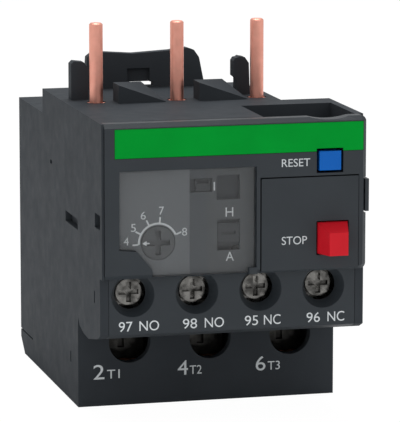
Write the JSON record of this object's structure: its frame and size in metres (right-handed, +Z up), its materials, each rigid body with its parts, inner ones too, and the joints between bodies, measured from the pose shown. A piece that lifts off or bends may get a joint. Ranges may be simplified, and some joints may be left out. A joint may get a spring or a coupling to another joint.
{
  "type": "thermal overload relay",
  "caption": "Dark grey block relay that plugs under a contactor: copper pins on top, hinged clear window over a dial, reset and stop buttons, recessed screw terminals.",
  "frame": {"origin": "middle of the underside of the whole relay's bounding box, at the level of its lowest face", "axes": "+X to the right as seen from the front, +Y to the back, +Z up towards the contactor"},
  "size_m": [0.045, 0.07, 0.0639],
  "materials": {
    "housing_plastic": "fine moulded grain, dark grey",
    "cover_plastic": "fine moulded grain, dark grey",
    "block_plastic": "fine moulded grain, dark grey",
    "green_plastic": "smooth, green",
    "smoked_clear_plastic": "clear, lightly smoked",
    "scale_plastic": "smooth, dark grey with pale marks",
    "dial_plastic": "smooth, grey",
    "blue_plastic": "smooth, blue",
    "red_plastic": "smooth, red",
    "mechanism_plastic": "smooth, ivory",
    "copper": "drawn copper, tarnished a little",
    "nickel_steel": "nickel plated",
    "dull_steel": "dull plated steel, in shadow",
    "spring_steel": "bright wire",
    "bimetal": "rolled bimetal",
    "heater_alloy": "oxidised resistance strip",
    "contact_bronze": "spring bronze with silver rivet"
  },
  "bodies": {
    "housing": {"base_housing": "housing_plastic", "rear_cover": "housing_plastic", "contactor_hook": "housing_plastic", "front_cover": "cover_plastic", "colour_stripe": "green_plastic", "button_panel": "cover_plastic", "cover_latch": "cover_plastic", "scale_plate": "scale_plastic", "aux_terminal_block": "block_plastic", "reset_spring": "spring_steel", "stop_spring": "spring_steel", "aux_plate_1": "nickel_steel", "aux_plate_2": "nickel_steel", "aux_plate_3": "nickel_steel", "aux_plate_4": "nickel_steel", "load_bar_1": "copper", "line_pin_1": "copper", "heater_winding_1": "heater_alloy", "load_bar_2": "copper", "line_pin_2": "copper", "heater_winding_2": "heater_alloy", "load_bar_3": "copper", "line_pin_3": "copper", "heater_winding_3": "heater_alloy"},
    "clear_cover": {"clear_cover": "smoked_clear_plastic"},
    "setting_dial": {"setting_dial": "dial_plastic"},
    "test_slider": {"test_slider": "dial_plastic"},
    "mode_selector": {"mode_selector": "dial_plastic"},
    "reset_button": {"reset_button": "blue_plastic"},
    "stop_button": {"stop_button": "red_plastic"},
    "main_slider": {"main_slider": "mechanism_plastic"},
    "differential_slider": {"differential_slider": "mechanism_plastic"},
    "differential_lever": {"differential_lever": "mechanism_plastic"},
    "adjusting_slide": {"adjusting_slide": "mechanism_plastic"},
    "compensation_strip": {"compensation_strip": "bimetal"},
    "trip_lever": {"trip_lever": "mechanism_plastic"},
    "no_contact_leaf": {"no_contact_leaf": "contact_bronze"},
    "nc_contact_leaf": {"nc_contact_leaf": "contact_bronze"},
    "aux_screw_1": {"aux_screw_1": "nickel_steel"},
    "aux_screw_2": {"aux_screw_2": "nickel_steel"},
    "aux_screw_3": {"aux_screw_3": "nickel_steel"},
    "aux_screw_4": {"aux_screw_4": "nickel_steel"},
    "aux_clamp_1": {"aux_clamp_1": "nickel_steel"},
    "aux_clamp_2": {"aux_clamp_2": "nickel_steel"},
    "aux_clamp_3": {"aux_clamp_3": "nickel_steel"},
    "aux_clamp_4": {"aux_clamp_4": "nickel_steel"},
    "load_screw_1": {"load_screw_1": "dull_steel"},
    "load_screw_2": {"load_screw_2": "dull_steel"},
    "load_screw_3": {"load_screw_3": "dull_steel"},
    "load_clamp_1": {"load_clamp_1": "dull_steel"},
    "load_clamp_2": {"load_clamp_2": "dull_steel"},
    "load_clamp_3": {"load_clamp_3": "dull_steel"},
    "bimetal_strip_1": {"bimetal_strip_1": "bimetal"},
    "bimetal_strip_2": {"bimetal_strip_2": "bimetal"},
    "bimetal_strip_3": {"bimetal_strip_3": "bimetal"},
    "trip_bar": {"trip_bar": "mechanism_plastic", "trip_flag": "cover_plastic"}
  },
  "joints": [
    {"name": "window_open", "type": "hinge", "parent": "housing", "child": "clear_cover", "pos_m": [0.0026, -0.0314, 0.034], "axis": [0, 0, 1], "range_deg": [0, 95]},
    {"name": "dial_turn", "type": "hinge", "parent": "housing", "child": "setting_dial", "pos_m": [-0.01285, -0.025, 0.0306], "axis": [0, 1, 0], "range_deg": [0, 160]},
    {"name": "adjusting_shift", "type": "slide", "parent": "housing", "child": "adjusting_slide", "axis": [1, 0, 0], "range_m": [0, 0.0004]},
    {"name": "overload_trip", "type": "slide", "parent": "housing", "child": "main_slider", "axis": [1, 0, 0], "range_m": [0, 0.001]},
    {"name": "phase_loss_lag", "type": "slide", "parent": "main_slider", "child": "differential_slider", "axis": [1, 0, 0], "range_m": [-0.0008, 0]},
    {"name": "phase_loss_lever", "type": "hinge", "parent": "main_slider", "child": "differential_lever", "pos_m": [-0.0163, 0.0136, 0.0397], "axis": [0, 0, 1], "range_deg": [0, 5.1]},
    {"name": "bimetal_bend_1", "type": "hinge", "parent": "housing", "child": "bimetal_strip_1", "pos_m": [-0.0136, 0.018, 0.0084], "axis": [0, 1, 0], "range_deg": [0, 2]},
    {"name": "bimetal_bend_2", "type": "hinge", "parent": "housing", "child": "bimetal_strip_2", "pos_m": [0.0004, 0.018, 0.0084], "axis": [0, 1, 0], "range_deg": [0, 2]},
    {"name": "bimetal_bend_3", "type": "hinge", "parent": "housing", "child": "bimetal_strip_3", "pos_m": [0.0144, 0.018, 0.0084], "axis": [0, 1, 0], "range_deg": [0, 2]},
    {"name": "compensation_turn", "type": "hinge", "parent": "adjusting_slide", "child": "compensation_strip", "pos_m": [0.002, -0.0218, 0.0435], "axis": [0, -1, 0], "range_deg": [0, 9.2]},
    {"name": "trip_lever_turn", "type": "hinge", "parent": "housing", "child": "trip_lever", "pos_m": [0.008, -0.0218, 0.041], "axis": [0, -1, 0], "range_deg": [0, 12.9]},
    {"name": "trip_bar_shift", "type": "slide", "parent": "housing", "child": "trip_bar", "axis": [1, 0, 0], "range_m": [0, 0.00135]},
    {"name": "no_contact_close", "type": "hinge", "parent": "housing", "child": "no_contact_leaf", "pos_m": [-0.00945, -0.0185, 0.0273], "axis": [0, 1, 0], "range_deg": [0, 10.1]},
    {"name": "nc_contact_open", "type": "hinge", "parent": "housing", "child": "nc_contact_leaf", "pos_m": [0.01015, -0.0185, 0.0273], "axis": [0, 1, 0], "range_deg": [0, 10.1]},
    {"name": "test_push", "type": "slide", "parent": "housing", "child": "test_slider", "axis": [-1, 0, 0], "range_m": [0, 0.0008]},
    {"name": "mode_select", "type": "slide", "parent": "housing", "child": "mode_selector", "axis": [0, 0, -1], "range_m": [0, 0.0011]},
    {"name": "reset_press", "type": "slide", "parent": "housing", "child": "reset_button", "axis": [0, 1, 0], "range_m": [0, 0.002], "stiffness_N_per_m": 300, "deforming": ["reset_spring"]},
    {"name": "stop_press", "type": "slide", "parent": "housing", "child": "stop_button", "axis": [0, 1, 0], "range_m": [0, 0.002], "stiffness_N_per_m": 300, "deforming": ["stop_spring"]},
    {"name": "aux_clamp_open_1", "type": "slide", "parent": "housing", "child": "aux_clamp_1", "axis": [0, -1, 0], "range_m": [0, 0.0024]},
    {"name": "aux_screw_turn_1", "type": "hinge", "parent": "aux_clamp_1", "child": "aux_screw_1", "pos_m": [-0.017, -0.0245, 0.02205], "axis": [0, -1, 0], "range_deg": [0, 1440]},
    {"name": "aux_clamp_open_2", "type": "slide", "parent": "housing", "child": "aux_clamp_2", "axis": [0, -1, 0], "range_m": [0, 0.0024]},
    {"name": "aux_screw_turn_2", "type": "hinge", "parent": "aux_clamp_2", "child": "aux_screw_2", "pos_m": [-0.00625, -0.0245, 0.02205], "axis": [0, -1, 0], "range_deg": [0, 1440]},
    {"name": "aux_clamp_open_3", "type": "slide", "parent": "housing", "child": "aux_clamp_3", "axis": [0, -1, 0], "range_m": [0, 0.0024]},
    {"name": "aux_screw_turn_3", "type": "hinge", "parent": "aux_clamp_3", "child": "aux_screw_3", "pos_m": [0.0045, -0.0245, 0.02205], "axis": [0, -1, 0], "range_deg": [0, 1440]},
    {"name": "aux_clamp_open_4", "type": "slide", "parent": "housing", "child": "aux_clamp_4", "axis": [0, -1, 0], "range_m": [0, 0.0024]},
    {"name": "aux_screw_turn_4", "type": "hinge", "parent": "aux_clamp_4", "child": "aux_screw_4", "pos_m": [0.01525, -0.0245, 0.02205], "axis": [0, -1, 0], "range_deg": [0, 1440]},
    {"name": "load_clamp_open_1", "type": "slide", "parent": "housing", "child": "load_clamp_1", "axis": [0, -1, 0], "range_m": [0, 0.0028]},
    {"name": "load_screw_turn_1", "type": "hinge", "parent": "load_clamp_1", "child": "load_screw_1", "pos_m": [-0.0136, -0.003, 0.0108], "axis": [0, -1, 0], "range_deg": [0, 1440]},
    {"name": "load_clamp_open_2", "type": "slide", "parent": "housing", "child": "load_clamp_2", "axis": [0, -1, 0], "range_m": [0, 0.0028]},
    {"name": "load_screw_turn_2", "type": "hinge", "parent": "load_clamp_2", "child": "load_screw_2", "pos_m": [0.0004, -0.003, 0.0108], "axis": [0, -1, 0], "range_deg": [0, 1440]},
    {"name": "load_clamp_open_3", "type": "slide", "parent": "housing", "child": "load_clamp_3", "axis": [0, -1, 0], "range_m": [0, 0.0028]},
    {"name": "load_screw_turn_3", "type": "hinge", "parent": "load_clamp_3", "child": "load_screw_3", "pos_m": [0.0144, -0.003, 0.0108], "axis": [0, -1, 0], "range_deg": [0, 1440]}
  ],
  "couplings": [
    {"joint": "dial_turn", "follows": "adjusting_shift", "rad_per_m": 6981.3},
    {"joint": "phase_loss_lever", "follows": "phase_loss_lag", "rad_per_m": -108.7},
    {"joint": "bimetal_bend_1", "follows": "overload_trip", "rad_per_m": 33.5},
    {"joint": "bimetal_bend_2", "follows": "overload_trip", "rad_per_m": 33.5},
    {"joint": "bimetal_bend_3", "follows": "overload_trip", "rad_per_m": 33.5},
    {"joint": "compensation_turn", "follows": "overload_trip", "rad_per_m": 158.7},
    {"joint": "trip_lever_turn", "follows": "overload_trip", "rad_per_m": 223.8},
    {"joint": "trip_bar_shift", "follows": "overload_trip", "ratio": 1.343},
    {"joint": "no_contact_close", "follows": "overload_trip", "rad_per_m": 174.4},
    {"joint": "nc_contact_open", "follows": "overload_trip", "rad_per_m": 174.4},
    {"joint": "aux_screw_turn_1", "follows": "aux_clamp_open_1", "rad_per_m": 10472},
    {"joint": "aux_screw_turn_2", "follows": "aux_clamp_open_2", "rad_per_m": 10472},
    {"joint": "aux_screw_turn_3", "follows": "aux_clamp_open_3", "rad_per_m": 10472},
    {"joint": "aux_screw_turn_4", "follows": "aux_clamp_open_4", "rad_per_m": 10472},
    {"joint": "load_screw_turn_1", "follows": "load_clamp_open_1", "rad_per_m": 8975.9},
    {"joint": "load_screw_turn_2", "follows": "load_clamp_open_2", "rad_per_m": 8975.9},
    {"joint": "load_screw_turn_3", "follows": "load_clamp_open_3", "rad_per_m": 8975.9}
  ]
}
